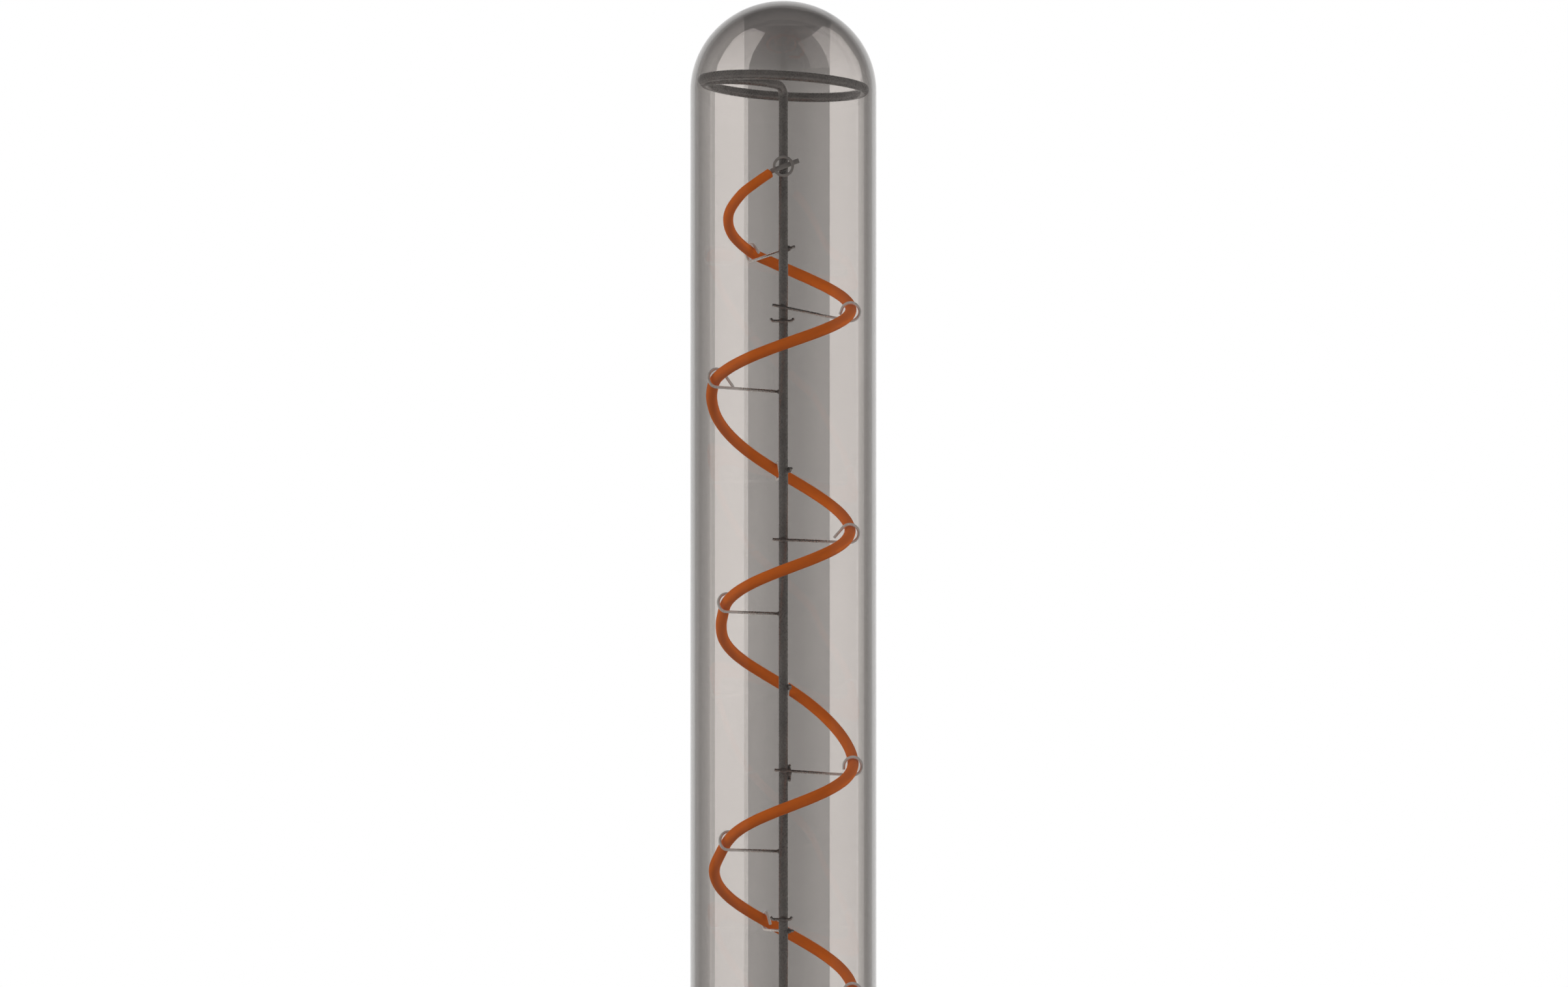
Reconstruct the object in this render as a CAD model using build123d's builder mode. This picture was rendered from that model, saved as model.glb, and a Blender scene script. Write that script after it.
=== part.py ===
"""Tubular LED bulb: smoked glass, a spiral filament carried on hooks round one central rod, and a screw cap.

Millimetres. Z is the bulb's axis, with the centre contact's tip at 0 and the domed top at overall_length.
Azimuths are in degrees from +X towards +Y, and -Y is the bulb's front.
"""

import os
from math import asin, atan2, ceil, cos, degrees, hypot, pi, radians, sin, sqrt

from build123d import *

os.makedirs("parts", exist_ok=True)

# Glass envelope
overall_length = 300.0
glass_diameter = 38.0
glass_wall = 0.9
dome_height = 18.3
neck_diameter = 22.0
neck_reveal = 3.6
shoulder_height = 14.0
shoulder_steps = 4
dome_steps = 6

# Screw cap
contact_diameter = 9.8
contact_height = 1.2
contact_crown = 0.5
contact_slope = 1.6
rivet_diameter = 2.4
rivet_head = 0.8
insulator_height = 5.8
insulator_foot_diameter = 11.2
insulator_brim_diameter = 17.0
shell_height = 22.0
shell_wall = 0.35
thread_diameter = 26.4
insulator_grip = 2.0
cement_height = 8.0
cement_rim_gap = 0.6

# Glass stem and pump tube
stem_diameter = 10.0
stem_wall = 0.9
flare_height = 4.0
brim_diameter = 13.6
stem_length = 26.0
press_width = 12.5
press_thickness = 5.2
pinch_width = 8.0
pinch_depth = 6.0
press_shoulder = 4.0
press_height = 8.0
rod_grip = 8.0
pump_tube_diameter = 4.4
pump_tube_wall = 0.8
pump_tube_length = 22.0
pump_tip = 2.2

# Support rod and its ring
rod_diameter = 1.9
ring_clearance = 0.5
ring_level = 283.1
ring_tilt = 3.3
rod_bend_radius = 2.2
rod_sides = 12
bend_step = 18
arm_step = 18.0
ring_step = 15.0
arm_azimuth = -123.0
arm_straight = 0.5
ring_end_azimuth = -171.0

# Filament
filament_diameter = 2.2
filament_sides = 10
filament_step = 20.0
lead_in_steps = [(-3.2, -0.6, -1.5), (-6.4, -0.6, -4.0), (-8.7, 1.6, -7.6), (-8.3, 6.2, -11.0)]
lead_out_steps = [(-0.8, 12.6, 5.3), (4.6, 9.3, 3.6), (6.5, 4.6, 1.9), (4.2, 0.7, 0.6)]

# Hooks: azimuth, level on the rod, level of the eye's centre, gap between the eye's centre and the glass
hook_wire_diameter = 0.6
hook_eye_diameter = 3.7
hook_eye_sweep = 230.0
eye_step = 39.0
hook_free_end = 2.3
hook_tail = 1.2
weld_length = 1.6
weld_height = 1.1
weld_wrap = 0.35
weld_outer_skin = 0.12
wire_sides = 6
hooks = [
    (119.0, 249.9, 250.4, 3.7),
    (-3.0, 237.6, 236.6, 4.4),
    (-150.0, 220.5, 222.8, 3.2),
    (100.0, 204.5, 205.0, 3.9),
    (0.0, 190.2, 191.5, 4.6),
    (-152.0, 175.2, 177.3, 5.1),
    (92.0, 160.2, 160.2, 4.0),
    (0.0, 143.2, 144.1, 4.0),
    (-150.0, 126.7, 129.0, 5.1),
    (110.0, 110.5, 112.0, 3.8),
    (0.0, 97.0, 98.0, 4.1),
    (-150.0, 81.5, 83.0, 4.1),
    (100.0, 67.0, 67.5, 3.9),
]

# Short cut wires on the rod: azimuth of the weld, level, ends along the wire, and upright or level
stubs = [
    (-90.0, 234.8, -2.8, 2.0, False),
    (-90.0, 112.9, -2.6, 1.6, False),
    (0.0, 142.6, -1.5, 1.5, True),
]
stub_hook = 0.7

# Filament ends
tab_width = 1.0
tab_thickness = 0.25
top_tab_level = 266.7
top_tab_slope = 21.0
top_tab_ends = (-2.75, 3.4)
clip_diameter = 4.2
clip_wire_diameter = 0.4
clip_gap_azimuth = 215
clip_step = 24
bottom_tab_rise = 6.4
bottom_tab_ends = (2.2, 5.6)

# Lead wires and driver
lead_diameter = 0.8
lead_spacing = 6.4
rod_lead_rise = 5.5
filament_lead_rise = 7.6
lead_bend = 1.0
lead_sides = 8
lead_foot_drop = 1.3
board_width = 16.0
board_height = 8.5
board_clearance = 0.5
board_thickness = 1.0
board_offset = 1.5
chip_size = (5.0, 1.6, 3.9)
rectifier_size = (4.7, 1.5, 3.9)
capacitor_diameter = 5.0
capacitor_length = 9.0
resistor_diameter = 2.2
resistor_length = 5.5
component_lead = 0.6
component_gap = 0.3
chip_offset = 4.6
contact_wire_rise = 0.6

# Levels and radii that follow from them
glass_radius = glass_diameter / 2
glass_bore = glass_radius - glass_wall
neck_radius = neck_diameter / 2
insulator_top = contact_height + insulator_height
shell_bottom = insulator_top - insulator_grip
shell_top = shell_bottom + shell_height
thread_crest = thread_diameter / 2
shell_bore = thread_crest - shell_wall
cement_top = shell_top - cement_rim_gap
neck_bottom = insulator_top + board_height + board_clearance
shoulder_bottom = cement_top + neck_reveal
dome_bottom = overall_length - dome_height
stem_radius = stem_diameter / 2
press_bottom = neck_bottom + stem_length
press_top = press_bottom + press_shoulder + press_height
rod_radius = rod_diameter / 2
rod_foot = press_top - rod_grip
ring_radius = glass_bore - rod_radius - ring_clearance
filament_radius = filament_diameter / 2
wire_radius = hook_wire_diameter / 2
wire_offset = rod_radius + wire_radius
eye_radius = hook_eye_diameter / 2
weld_thickness = weld_wrap + wire_radius + weld_outer_skin
tab_offset = rod_radius + tab_thickness / 2
lead_radius = lead_diameter / 2
lead_x = lead_spacing / 2
lead_foot_level = neck_bottom - lead_foot_drop
rod_lead_level = press_top + rod_lead_rise
filament_lead_top = press_top + filament_lead_rise
bottom_tab_level = press_top + bottom_tab_rise
axis = Axis.Z


def save(part, name):
    """Write one finished piece under its own name."""
    part.part.label = name
    export_step(part.part, f"parts/{name}.step")


def polar(radius, azimuth, level):
    """Point at a radius and azimuth round the bulb's axis."""
    return Vector(radius * cos(radians(azimuth)), radius * sin(radians(azimuth)), level)


def trace_glass(inset):
    """Half section of the envelope from neck to dome, inset from its outer skin."""
    step_out = glass_radius - neck_radius
    lean = inset * sin(atan2(step_out, shoulder_height))
    shoulder_shares = [index / shoulder_steps for index in range(shoulder_steps + 1)]
    shoulder = [
        (
            neck_radius - inset + step_out * (1 - cos(pi * share)) / 2,
            shoulder_bottom + shoulder_height * share + lean * sin(pi * share),
        )
        for share in shoulder_shares
    ]
    dome_turns = [pi / 2 * (index / dome_steps) for index in range(dome_steps + 1)]
    dome = [
        ((glass_radius - inset) * cos(turn), dome_bottom + (dome_height - inset) * sin(turn))
        for turn in dome_turns[:-1]
    ]
    Polyline((neck_radius - inset, neck_bottom), *shoulder, *dome, (0, overall_length - inset))


# Envelope: one blown wall, open at the neck
with BuildPart() as glass_envelope:
    with BuildSketch(Plane.XZ):
        with BuildLine():
            trace_glass(0)
            trace_glass(glass_wall)
            Line((0, overall_length), (0, overall_length - glass_wall))
            Line((neck_radius, neck_bottom), (neck_radius - glass_wall, neck_bottom))
        make_face()
    revolve(axis=axis)
save(glass_envelope, "glass_envelope")

# Stem: a flare that meets the neck's inner wall, a closed tube, and the press pinched flat above it
flare_radius = neck_radius - glass_wall
brim_radius = brim_diameter / 2
stem_bore = stem_radius - stem_wall
flare_top = neck_bottom + flare_height
pinch_bottom = press_bottom + stem_wall
pinch_top = press_bottom + press_shoulder
with BuildPart() as glass_stem:
    with BuildSketch(Plane.XZ):
        with BuildLine():
            Polyline(
                (flare_radius, neck_bottom),
                (flare_radius, neck_bottom + stem_wall),
                (brim_radius, neck_bottom + stem_wall),
                (stem_radius, flare_top),
                (stem_radius, pinch_bottom),
                (0, pinch_bottom),
                (0, press_bottom),
                (stem_bore, press_bottom),
                (stem_bore, flare_top),
                (brim_radius - stem_wall, neck_bottom),
                close=True,
            )
        make_face()
    revolve(axis=axis)
    with BuildSketch(Plane.XZ) as press_front:
        with BuildLine():
            Polyline(
                (-pinch_width / 2, pinch_bottom),
                (-press_width / 2, pinch_top),
                (-press_width / 2, press_top),
                (press_width / 2, press_top),
                (press_width / 2, pinch_top),
                (pinch_width / 2, pinch_bottom),
                close=True,
            )
        make_face()
    with BuildSketch(Plane.YZ) as press_side:
        with BuildLine():
            Polyline(
                (-pinch_depth / 2, pinch_bottom),
                (-press_thickness / 2, pinch_top),
                (-press_thickness / 2, press_top),
                (press_thickness / 2, press_top),
                (press_thickness / 2, pinch_top),
                (pinch_depth / 2, pinch_bottom),
                close=True,
            )
        make_face()
    with BuildPart(mode=Mode.PRIVATE) as press:
        extrude(press_front.sketch, amount=pinch_depth / 2, both=True)
        extrude(press_side.sketch, amount=press_width / 2, both=True, mode=Mode.INTERSECT)
    add(press.part)
    with Locations((0, 0, press_top)):
        Hole(rod_radius, depth=rod_grip)
    with Locations((-lead_x, 0, press_top), (lead_x, 0, press_top)):
        Hole(lead_radius, depth=press_top - press_bottom)
save(glass_stem, "glass_stem")

# Pump tube, closed at its lower end
pump_radius = pump_tube_diameter / 2
pump_bore = pump_radius - pump_tube_wall
pump_bottom = press_bottom - pump_tube_length
with BuildPart() as exhaust_tube:
    with BuildSketch(Plane.XZ):
        with BuildLine():
            Polyline(
                (0, pump_bottom),
                (pump_radius, pump_bottom),
                (pump_radius, press_bottom),
                (pump_bore, press_bottom),
                (pump_bore, pump_bottom + pump_tip),
                (0, pump_bottom + pump_tip),
                close=True,
            )
        make_face()
    revolve(axis=axis)
save(exhaust_tube, "exhaust_tube")

# Rod, arm and ring: one wire. The arm runs from the bend in one arc that is tangent to the ring.
ring_plane = Plane(origin=(0, 0, ring_level), z_dir=Vector(0, 0, 1).rotate(Axis.Y, ring_tilt))
arm_start = rod_bend_radius + arm_straight
arm_radius = (ring_radius**2 - arm_start**2) / (2 * ring_radius)
arm_centre = polar(arm_start, arm_azimuth, 0) + polar(arm_radius, arm_azimuth - 90, 0)
ring_join = degrees(atan2(arm_centre.Y, arm_centre.X))


def arc_points(centre, radius, start, sweep_angle, step):
    """Points along an arc on the ring's plane, both ends included."""
    count = ceil(abs(sweep_angle) / step)
    return [
        ring_plane.from_local_coords(centre + polar(radius, start + sweep_angle * index / count, 0))
        for index in range(count + 1)
    ]


bend_way = (ring_plane.from_local_coords(polar(1, arm_azimuth, 0)) - ring_plane.origin).normalized()
bend_centre = Vector(0, 0, ring_level - rod_bend_radius) + bend_way * rod_bend_radius
bend_points = []
for turn in range(0, 90, bend_step):
    inward = bend_way * (rod_bend_radius * cos(radians(turn)))
    bend_points.append(bend_centre - inward + Vector(0, 0, rod_bend_radius * sin(radians(turn))))
arm_sweep = ring_join - (arm_azimuth + 90) - 360
arm_points = arc_points(arm_centre, arm_radius, arm_azimuth + 90, arm_sweep, arm_step)
ring_points = arc_points(Vector(0, 0, 0), ring_radius, ring_join, ring_end_azimuth - ring_join, ring_step)
with BuildPart() as support_rod:
    with BuildLine() as rod_line:
        Polyline((0, 0, rod_foot), *bend_points, *arm_points, *ring_points[1:])
    with BuildSketch(Plane.XY.offset(rod_foot)):
        RegularPolygon(rod_radius, rod_sides)
    sweep(path=rod_line.wires()[0], transition=Transition.RIGHT)
save(support_rod, "support_rod")


class HookSeat:
    """Where one hook lies: its wire runs beside the rod, in an upright plane through the wire and its eye."""

    def __init__(self, azimuth, rod_level, eye_level, glass_gap):
        reach = glass_bore - glass_gap
        slope = asin((eye_level - rod_level - eye_radius) / reach)
        level_way = polar(1, azimuth, 0)
        side = polar(1, azimuth - 90, 0)
        self.along = level_way * cos(slope) + Vector(0, 0, sin(slope))
        self.weld = Vector(0, 0, rod_level) + side * wire_offset
        self.plane = Plane(origin=self.weld, x_dir=self.along, z_dir=side)
        self.run = sqrt(reach**2 - wire_offset**2)
        self.eye = self.plane.from_local_coords((self.run, eye_radius, 0))


def weld_face(seat):
    """Inner face of the flattened weld between a wire and the rod, drawn on the wire's plane."""
    with BuildSketch(seat.offset(rod_radius - weld_wrap - wire_offset)) as face:
        Rectangle(weld_length, weld_height)
    return face.sketch


# The rod's straight stretch, which every weld is hollowed to
with BuildPart() as rod_core:
    with BuildSketch(Plane.XY.offset(rod_foot)):
        RegularPolygon(rod_radius, rod_sides)
    extrude(amount=ring_level - rod_bend_radius - rod_foot)


def eye_points(run):
    """Outline of an eye on the hook's plane: round from its lowest point, then the free end."""
    count = ceil(hook_eye_sweep / eye_step)
    turns = [radians(hook_eye_sweep * index / count - 90) for index in range(count + 1)]
    points = [(run + eye_radius * cos(turn), eye_radius + eye_radius * sin(turn)) for turn in turns]
    last = turns[-1]
    points.append((points[-1][0] - hook_free_end * sin(last), points[-1][1] + hook_free_end * cos(last)))
    return points


# Hooks: straight past the rod, out to the eye, round the filament and back by a short free end
seats = [HookSeat(*hook) for hook in hooks]
for number, seat in enumerate(seats, start=1):
    with BuildPart() as support_hook:
        with BuildLine(seat.plane) as hook_line:
            Polyline((-rod_radius - hook_tail, 0), *eye_points(seat.run))
        with BuildSketch(Plane(origin=hook_line.line @ 0, z_dir=seat.along)):
            RegularPolygon(wire_radius, wire_sides)
        sweep(path=hook_line.wires()[0], transition=Transition.RIGHT)
        extrude(weld_face(seat.plane), amount=weld_thickness)
        add(rod_core.part, mode=Mode.SUBTRACT)
    save(support_hook, f"support_hook_{number:02d}")

# Cut ends of wire on the rod, with their tips turned up
for number, (azimuth, level, start, end, upright) in enumerate(stubs, start=1):
    outward = polar(1, azimuth, 0)
    along = Vector(0, 0, 1) if upright else polar(1, azimuth + 90, 0)
    stub_plane = Plane(origin=polar(wire_offset, azimuth, level), x_dir=along, z_dir=outward)
    with BuildPart() as wire_stub:
        with BuildLine(stub_plane) as stub_line:
            Polyline(
                (start - stub_hook, stub_hook),
                (start, 0),
                (end, 0),
                (end + stub_hook, stub_hook),
            )
        with BuildSketch(Plane(origin=stub_line.line @ 0, z_dir=stub_line.line % 0)):
            RegularPolygon(wire_radius, wire_sides)
        sweep(path=stub_line.wires()[0], transition=Transition.RIGHT)
        extrude(weld_face(stub_plane), amount=weld_thickness)
        add(rod_core.part, mode=Mode.SUBTRACT)
    save(wire_stub, f"wire_stub_{number}")

# Top tab: a flat strip across the rod's front, with the filament's end on its left
top_tab_way = Vector(cos(radians(top_tab_slope)), 0, sin(radians(top_tab_slope)))
top_tab_plane = Plane(origin=(0, -tab_offset, top_tab_level), x_dir=top_tab_way, z_dir=(0, -1, 0))
with BuildPart() as filament_top_tab:
    with BuildSketch(top_tab_plane.offset(-tab_thickness / 2)):
        with Locations((sum(top_tab_ends) / 2, 0)):
            Rectangle(top_tab_ends[1] - top_tab_ends[0], tab_width)
    extrude(amount=tab_thickness)
save(filament_top_tab, "filament_top_tab")

# Clip: a nearly closed ring of thin wire on the tab's face
clip_radius = clip_diameter / 2
clip_plane = Plane.XZ.offset(rod_radius + tab_thickness + clip_wire_diameter / 2)
clip_turns = [radians(clip_gap_azimuth + clip_step * index) for index in range(360 // clip_step)]
with BuildPart() as filament_end_clip:
    with BuildLine(clip_plane) as clip_line:
        Polyline(*[(clip_radius * cos(turn), top_tab_level + clip_radius * sin(turn)) for turn in clip_turns])
    with BuildSketch(Plane(origin=clip_line.line @ 0, z_dir=clip_line.line % 0)):
        RegularPolygon(clip_wire_diameter / 2, wire_sides)
    sweep(path=clip_line.wires()[0], transition=Transition.RIGHT)
save(filament_end_clip, "filament_end_clip")

# Bottom tab: the same strip, on the lead wire's back
bottom_tab_y = lead_radius + tab_thickness / 2
with BuildPart() as filament_bottom_tab:
    with BuildSketch(Plane.XZ.offset(-bottom_tab_y - tab_thickness / 2)):
        with Locations((sum(bottom_tab_ends) / 2, bottom_tab_level)):
            Rectangle(bottom_tab_ends[1] - bottom_tab_ends[0], tab_width)
    extrude(amount=tab_thickness)
save(filament_bottom_tab, "filament_bottom_tab")


def unwound(seats):
    """Azimuth, radius and level of each eye, with the azimuth falling steadily from hook to hook."""
    knots = []
    for seat in seats:
        azimuth = degrees(atan2(seat.eye.Y, seat.eye.X))
        if knots:
            azimuth -= 360 * ceil((azimuth - knots[-1][0]) / 360)
        knots.append((azimuth, hypot(seat.eye.X, seat.eye.Y), seat.eye.Z))
    return knots


def glide(pair, slopes, item, share):
    """One item between two knots: a cubic blend that leaves and arrives with the given slopes."""
    rest = 1 - share
    span = pair[1][0] - pair[0][0]
    value = (1 + 2 * share) * rest**2 * pair[0][item] + share**2 * (3 - 2 * share) * pair[1][item]
    return value + span * (share * rest**2 * slopes[0][item] - share**2 * rest * slopes[1][item])


def coil_points(knots):
    """Points along the filament from the first eye to the last, about one filament_step apart."""
    points = []
    slopes = []
    for index in range(len(knots)):
        before = knots[max(index - 1, 0)]
        after = knots[min(index + 1, len(knots) - 1)]
        turn = after[0] - before[0]
        slopes.append((1, (after[1] - before[1]) / turn, (after[2] - before[2]) / turn))
    for index in range(len(knots) - 1):
        pair = knots[index : index + 2]
        ways = slopes[index : index + 2]
        span = pair[1][0] - pair[0][0]
        steps = ceil(abs(span) / filament_step)
        for step in range(steps):
            share = step / steps
            radius, level = (glide(pair, ways, item, share) for item in (1, 2))
            points.append(polar(radius, pair[0][0] + span * share, level))
    points.append(polar(knots[-1][1], knots[-1][0], knots[-1][2]))
    return points


# Filament: from the top tab out to the first eye, down through every eye, and in to the bottom tab
top_end = top_tab_plane.from_local_coords((top_tab_ends[0], 0, 0))
lead_in = [top_end] + [top_end + Vector(*step) for step in lead_in_steps]
bottom_end = Vector(bottom_tab_ends[1], bottom_tab_y, bottom_tab_level)
lead_out = [bottom_end + Vector(*step) for step in lead_out_steps] + [bottom_end]
with BuildPart() as filament:
    with BuildLine() as filament_line:
        Polyline(*lead_in, *coil_points(unwound(seats)), *lead_out)
    with BuildSketch(Plane(origin=filament_line.line @ 0, z_dir=filament_line.line % 0)):
        RegularPolygon(filament_radius, filament_sides)
    sweep(path=filament_line.wires()[0], transition=Transition.RIGHT)
save(filament, "filament")

# Lead wires: from the driver's face up through the press
board_front = board_offset
filament_lead_route = [
    (lead_x, board_front, lead_foot_level),
    (lead_x, lead_bend, lead_foot_level),
    (lead_x, 0, lead_foot_level + lead_bend),
    (lead_x, 0, filament_lead_top),
]
rod_lead_route = [
    (-lead_x, board_front, lead_foot_level),
    (-lead_x, lead_bend, lead_foot_level),
    (-lead_x, 0, lead_foot_level + lead_bend),
    (-lead_x, 0, rod_lead_level - lead_bend),
    (lead_bend - lead_x, 0, rod_lead_level),
    (-rod_radius, 0, rod_lead_level),
]
for name, route in (("filament_lead_wire", filament_lead_route), ("rod_lead_wire", rod_lead_route)):
    with BuildPart() as lead_wire:
        with BuildLine() as lead_line:
            Polyline(*route)
        with BuildSketch(Plane(origin=lead_line.line @ 0, z_dir=lead_line.line % 0)):
            RegularPolygon(lead_radius, lead_sides)
        sweep(path=lead_line.wires()[0], transition=Transition.RIGHT)
    save(lead_wire, name)

# Centre contact: a crowned disc with a rivet up through the insulator
contact_radius = contact_diameter / 2
rivet_radius = rivet_diameter / 2
rivet_top = insulator_top + rivet_head
with BuildPart() as centre_contact:
    with BuildSketch(Plane.XZ):
        with BuildLine():
            Polyline(
                (0, 0),
                (contact_radius - contact_slope, 0),
                (contact_radius, contact_crown),
                (contact_radius, contact_height),
                (rivet_radius, contact_height),
                (rivet_radius, rivet_top),
                (0, rivet_top),
                close=True,
            )
        make_face()
    revolve(axis=axis)
save(centre_contact, "centre_contact")

# Insulator: a cone that closes the shell's lower end
with BuildPart() as cap_insulator:
    with BuildSketch(Plane.XZ):
        with BuildLine():
            Polyline(
                (rivet_radius, contact_height),
                (insulator_foot_diameter / 2, contact_height),
                (insulator_brim_diameter / 2, shell_bottom),
                (shell_bore, shell_bottom),
                (shell_bore, insulator_top),
                (rivet_radius, insulator_top),
                close=True,
            )
        make_face()
    revolve(axis=axis)
save(cap_insulator, "cap_insulator")

# Shell: a sleeve of the thread's outer size
with BuildPart() as cap_shell:
    with BuildSketch(Plane.XY.offset(shell_bottom)):
        Circle(thread_crest)
        Circle(shell_bore, mode=Mode.SUBTRACT)
    extrude(amount=shell_height)
save(cap_shell, "cap_shell")

# Cement ring between the neck and the shell
with BuildPart() as basing_cement:
    with BuildSketch(Plane.XY.offset(cement_top - cement_height)):
        Circle(shell_bore)
        Circle(neck_radius, mode=Mode.SUBTRACT)
    extrude(amount=cement_height)
save(basing_cement, "basing_cement")

# Driver: a small board that stands on the insulator, with its parts on both faces
board_back = board_offset + board_thickness
with BuildPart() as driver_board:
    with BuildSketch(Plane.XY.offset(insulator_top)):
        with Locations((0, board_offset + board_thickness / 2)):
            Rectangle(board_width, board_thickness)
    extrude(amount=board_height)
save(driver_board, "driver_board")

board_middle = insulator_top + board_height / 2
with BuildPart() as bridge_rectifier:
    with BuildSketch(Plane.XY.offset(board_middle - rectifier_size[2] / 2)):
        with Locations((chip_offset, board_back + rectifier_size[1] / 2)):
            Rectangle(rectifier_size[0], rectifier_size[1])
    extrude(amount=rectifier_size[2])
save(bridge_rectifier, "bridge_rectifier")

with BuildPart() as driver_chip:
    with BuildSketch(Plane.XY.offset(board_middle - chip_size[2] / 2)):
        with Locations((-chip_offset, board_back + chip_size[1] / 2)):
            Rectangle(chip_size[0], chip_size[1])
    extrude(amount=chip_size[2])
save(driver_chip, "driver_chip")

# Contact wire: from the rivet to the board's face
contact_wire_level = rivet_top + contact_wire_rise
with BuildPart() as contact_wire:
    with BuildLine() as contact_line:
        Polyline((0, 0, rivet_top), (0, 0, contact_wire_level), (0, board_front, contact_wire_level))
    with BuildSketch(Plane.XY.offset(rivet_top)):
        RegularPolygon(component_lead / 2, wire_sides)
    sweep(path=contact_line.wires()[0], transition=Transition.RIGHT)
save(contact_wire, "contact_wire")

# Smoothing capacitor: a can that lies along the board's front, above the contact wire
capacitor_radius = capacitor_diameter / 2
capacitor_level = contact_wire_level + component_lead / 2 + component_gap + capacitor_radius
with BuildPart() as smoothing_capacitor:
    with BuildSketch(Plane.YZ.offset(-capacitor_length / 2)):
        with Locations((board_front - capacitor_radius, capacitor_level)):
            Circle(capacitor_radius)
    extrude(amount=capacitor_length)
save(smoothing_capacitor, "smoothing_capacitor")

# Fusible resistor: one lead on the shell's wall, the other on the board's face
resistor_radius = resistor_diameter / 2
resistor_y = board_front - resistor_radius
resistor_right = -capacitor_length / 2 - component_gap - component_lead
shell_wall_x = -sqrt(shell_bore**2 - (abs(resistor_y) + component_lead / 2) ** 2)
with BuildPart() as fusible_resistor:
    with BuildLine() as resistor_line:
        Polyline(
            (shell_wall_x, resistor_y, capacitor_level),
            (resistor_right, resistor_y, capacitor_level),
            (resistor_right, board_front, capacitor_level),
        )
    with BuildSketch(Plane(origin=resistor_line.line @ 0, z_dir=resistor_line.line % 0)):
        RegularPolygon(component_lead / 2, wire_sides)
    sweep(path=resistor_line.wires()[0], transition=Transition.RIGHT)
    with BuildSketch(Plane.YZ.offset(resistor_right - component_lead - resistor_length)):
        with Locations((resistor_y, capacitor_level)):
            RegularPolygon(resistor_radius, filament_sides)
    extrude(amount=resistor_length)
save(fusible_resistor, "fusible_resistor")
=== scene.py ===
"""Looks of the tubular LED bulb: smoked glass, amber spiral filament on wire hooks, and a screw cap."""

from math import asin, atan2, ceil, cos, degrees, hypot, pi, radians, sin, sqrt

import bmesh
import bpy
from mathutils import Matrix, Vector


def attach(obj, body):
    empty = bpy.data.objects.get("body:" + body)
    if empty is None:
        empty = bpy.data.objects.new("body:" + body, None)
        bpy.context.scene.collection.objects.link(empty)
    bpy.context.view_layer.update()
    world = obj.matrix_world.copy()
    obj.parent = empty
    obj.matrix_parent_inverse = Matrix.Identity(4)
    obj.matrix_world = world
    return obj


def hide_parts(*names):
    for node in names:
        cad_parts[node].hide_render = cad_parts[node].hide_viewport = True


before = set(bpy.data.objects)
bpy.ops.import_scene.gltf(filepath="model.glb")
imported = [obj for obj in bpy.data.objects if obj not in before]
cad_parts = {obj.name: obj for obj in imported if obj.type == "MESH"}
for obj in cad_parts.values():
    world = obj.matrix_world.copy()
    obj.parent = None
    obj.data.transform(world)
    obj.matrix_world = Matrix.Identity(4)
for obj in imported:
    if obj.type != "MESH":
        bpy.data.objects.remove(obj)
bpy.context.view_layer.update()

MM = 0.001
UP = Vector((0, 0, 1))

# Sizes in millimetres: the solids' own, but for a few that are set a little apart to meet the photo
overall_length = 300.0
glass_radius = 19.0
glass_wall = 0.9
dome_height = 18.3
neck_radius = 11.0
neck_bottom = 16.0
shoulder_bottom = 30.0
shoulder_height = 14.0
rod_radius = 0.95
rod_foot = 46.0
ring_radius = 16.65
ring_level = 282.75
ring_tilt = 3.3
rod_bend_radius = 2.2
arm_azimuth = -123.0
arm_straight = 0.5
ring_end_azimuth = -171.0
filament_radius = 1.14
slim_end = 0.84
slim_steps = 42
filament_end_drop = (-0.4, 0.0, -0.5)
lead_in_steps = [(-2.9, -0.6, -2.3), (-6.1, -0.6, -4.9), (-8.6, 1.6, -8.6), (-8.0, 6.2, -12.2)]
lead_out_steps = [(-0.8, 12.6, 5.3), (4.6, 9.3, 3.6), (6.5, 4.6, 1.9), (4.2, 0.7, 0.6)]
wire_radius = 0.3
eye_radius = 1.85
stub_hook = 0.45
weld_half = (0.95, 0.6, 0.62)
top_tab_level = 266.25
top_tab_slope = 21.0
top_tab_ends = (-2.75, 3.4)
bottom_tab_level = 60.4
bottom_tab_ends = (2.2, 5.6)
tab_width = 1.0
tab_thickness = 0.25
clip_radius = 1.9
clip_wire_radius = 0.3
clip_gap_azimuth = 215.0
clip_sweep = 336.0
lead_radius = 0.4
lead_x = 3.2
lead_foot_level = 14.7
lead_bend = 1.0
rod_lead_level = 59.5
filament_lead_top = 61.6
board_front = 1.5
stem_radius = 5.0
stem_wall = 0.9
stem_flare_height = 4.0
stem_span = 4.4
flare_power = 2.4
press_bottom = 42.0
pinch_start = 40.5
pinch_end = 47.0
press_top = 54.0
press_width = 12.5
press_thickness = 5.2
bore_crown = 1.6
pump_radius = 2.2
pump_wall = 0.8
pump_bottom = 20.0
shell_bottom = 5.0
shell_top = 27.0
shell_wall = 0.35
thread_crest = 13.2
thread_depth = 1.1
thread_pitch = 3.62
thread_start = 7.4
thread_end = 21.6
thread_fade = 1.6
rim_step = 0.05
foot_draw = 0.55
foot_height = 1.2
root_draw = 0.25
contact_radius = 4.9
contact_height = 1.2
rivet_radius = 1.2
rivet_top = 7.8
insulator_top = 7.0
resistor_radius = 1.1
resistor_length = 5.5
resistor_body_x = -11.5
resistor_bend_x = -5.6
resistor_level = 11.5
component_lead_radius = 0.3
cement_bottom = 18.4
cement_top = 26.4

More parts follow.
